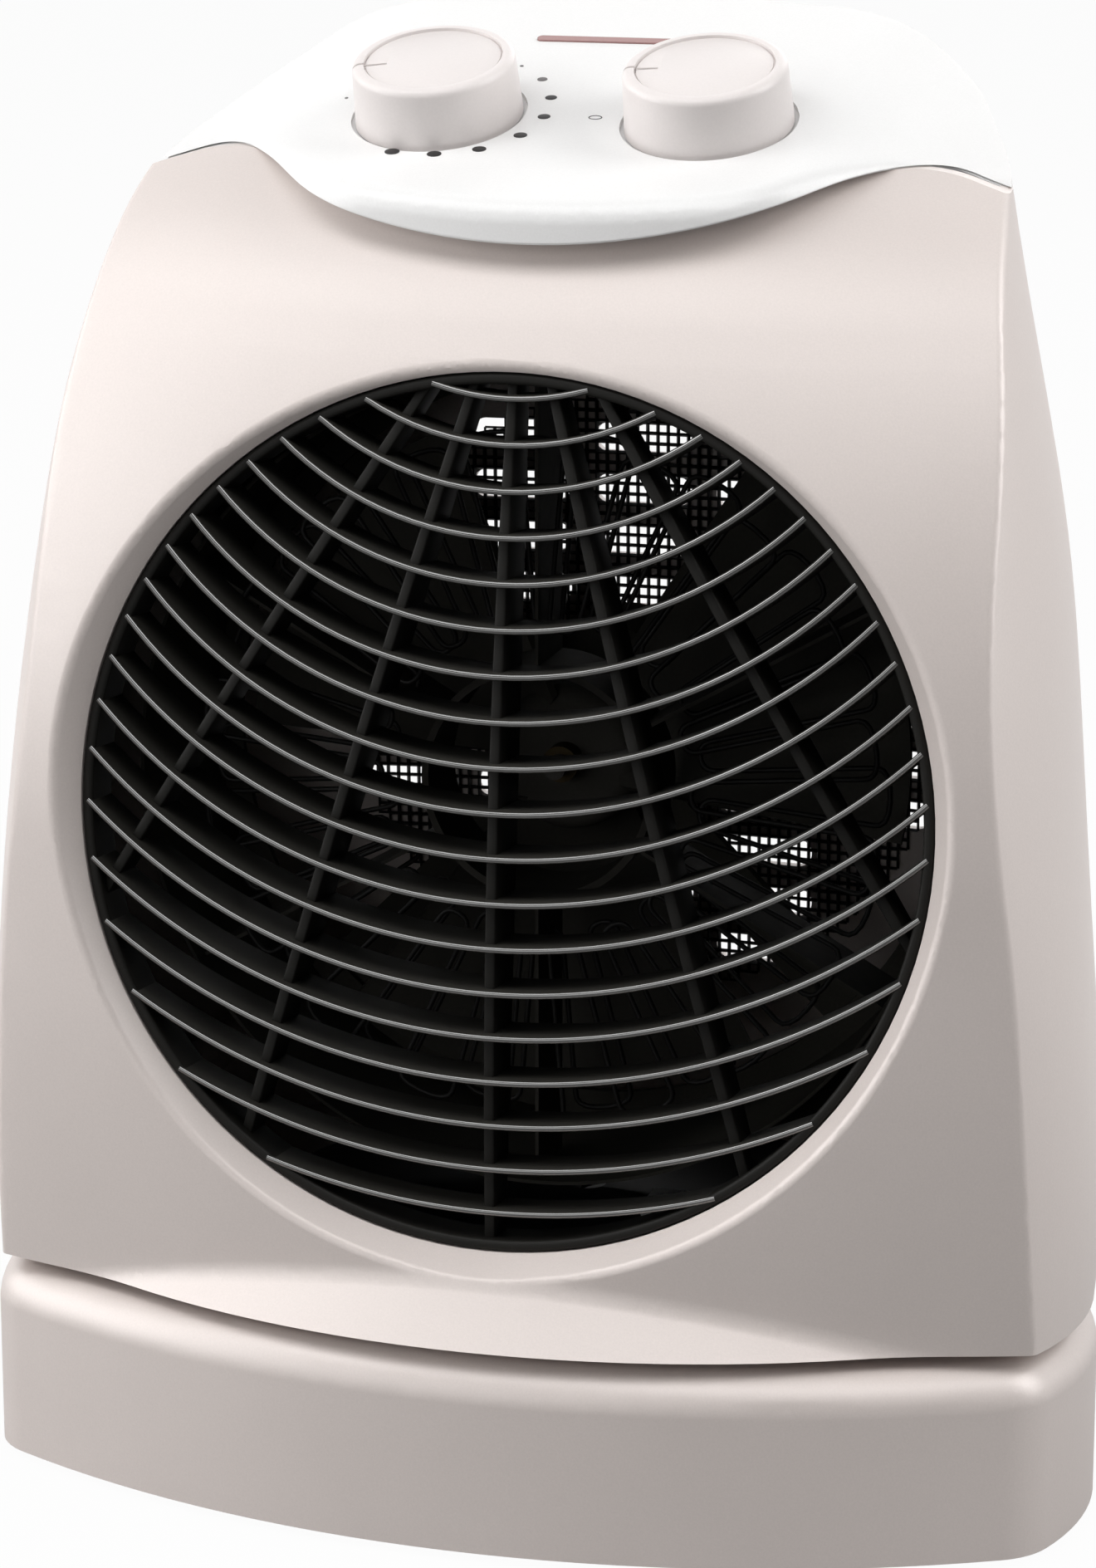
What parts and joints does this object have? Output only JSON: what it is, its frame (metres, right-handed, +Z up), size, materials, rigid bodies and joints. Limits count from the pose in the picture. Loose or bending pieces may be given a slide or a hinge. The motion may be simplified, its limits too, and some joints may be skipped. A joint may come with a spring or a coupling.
{
  "type": "fan heater",
  "caption": "Free-standing oscillating fan heater: rounded silver head with a round domed grille, sloping white control panel with rotary knobs, on a low swivel base.",
  "frame": {"origin": "centre of the base on the floor, which is also on the head's swing axis", "axes": "+Z up; the air grille faces -Y; +X is to the right seen from the front"},
  "size_m": [0.2564, 0.168, 0.3291],
  "materials": {
    "silver_plastic": "satin silver paint with a fine grain",
    "white_plastic": "glossy white moulding",
    "knob_plastic": "satin white moulding",
    "black_plastic": "semi-gloss black moulding",
    "dark_plastic": "matt moulded plastic",
    "foot_rubber": "matt rubber",
    "zinc_steel": "zinc-plated steel",
    "motor_iron": "varnished laminations",
    "brass": "plain brass",
    "fan_paint": "pressed metal, painted black",
    "dark_steel": "heat-darkened steel",
    "mica": "mica sheet",
    "heater_wire": "dull resistance wire",
    "ceramic": "plain ceramic",
    "red_lens": "clear red moulding",
    "lamp_glass": "small neon tube"
  },
  "bodies": {
    "base": {"base_shell": "silver_plastic", "base_plate": "dark_plastic", "rubber_feet": "foot_rubber", "base_screws": "zinc_steel", "pivot_bush": "brass", "glide_pads": "white_plastic", "swing_motor": "zinc_steel", "swing_motor_screws": "zinc_steel", "tip_switch": "dark_plastic", "cable_gland": "dark_plastic"},
    "head": {"front_casing": "silver_plastic", "rear_casing": "silver_plastic", "control_panel": "white_plastic", "front_grille": "black_plastic", "turntable": "dark_plastic", "turntable_screws": "zinc_steel", "pivot_clip": "zinc_steel", "casing_screws": "zinc_steel", "fan_frame": "dark_steel", "motor_bracket": "dark_steel", "frame_screws": "zinc_steel", "motor_can": "dark_steel", "motor_stator": "motor_iron", "motor_bearings": "brass", "heat_sleeve": "dark_steel", "heater_frame": "mica", "heater_winding": "heater_wire", "thermal_cutout": "ceramic", "thermostat": "dark_plastic", "mode_switch": "dark_plastic", "lamp_lens": "red_lens", "lamp": "lamp_glass", "terminal_block": "white_plastic"},
    "crank": {"swing_crank": "zinc_steel"},
    "plunger": {"tip_plunger": "dark_plastic"},
    "fan": {"fan": "fan_paint", "motor_shaft": "zinc_steel", "motor_rotor": "motor_iron", "fan_nut": "brass"},
    "thermostat_knob": {"thermostat_knob": "knob_plastic", "thermostat_spindle": "zinc_steel"},
    "mode_knob": {"mode_knob": "knob_plastic", "mode_spindle": "zinc_steel"}
  },
  "joints": [
    {"name": "oscillation", "type": "hinge", "parent": "base", "child": "head", "pos_m": [0, 0, 0.0455], "axis": [0, 0, 1], "range_deg": [-30, 30]},
    {"name": "crank_turn", "type": "hinge", "parent": "base", "child": "crank", "pos_m": [0, 0.038, 0.0432], "axis": [0, 0, 1], "range_deg": [-99, 99]},
    {"name": "fan_spin", "type": "hinge", "parent": "head", "child": "fan", "pos_m": [0, 0.01, 0.1619], "axis": [0, 1, 0], "continuous": true},
    {"name": "thermostat_turn", "type": "hinge", "parent": "head", "child": "thermostat_knob", "pos_m": [-0.0311, 0.0057, 0.3075], "axis": [0, -0.3313, 0.9435], "range_deg": [-285, 0]},
    {"name": "mode_turn", "type": "hinge", "parent": "head", "child": "mode_knob", "pos_m": [0.0311, 0.0057, 0.3075], "axis": [0, -0.3313, 0.9435], "range_deg": [-270, 0]},
    {"name": "tip_slide", "type": "slide", "parent": "base", "child": "plunger", "axis": [0, 0, 1], "range_m": [-0.006, 0], "stiffness_N_per_m": 5, "springref_m": -0.006}
  ],
  "couplings": [
    {"joint": "crank_turn", "follows": "oscillation", "ratio": 3.3}
  ]
}
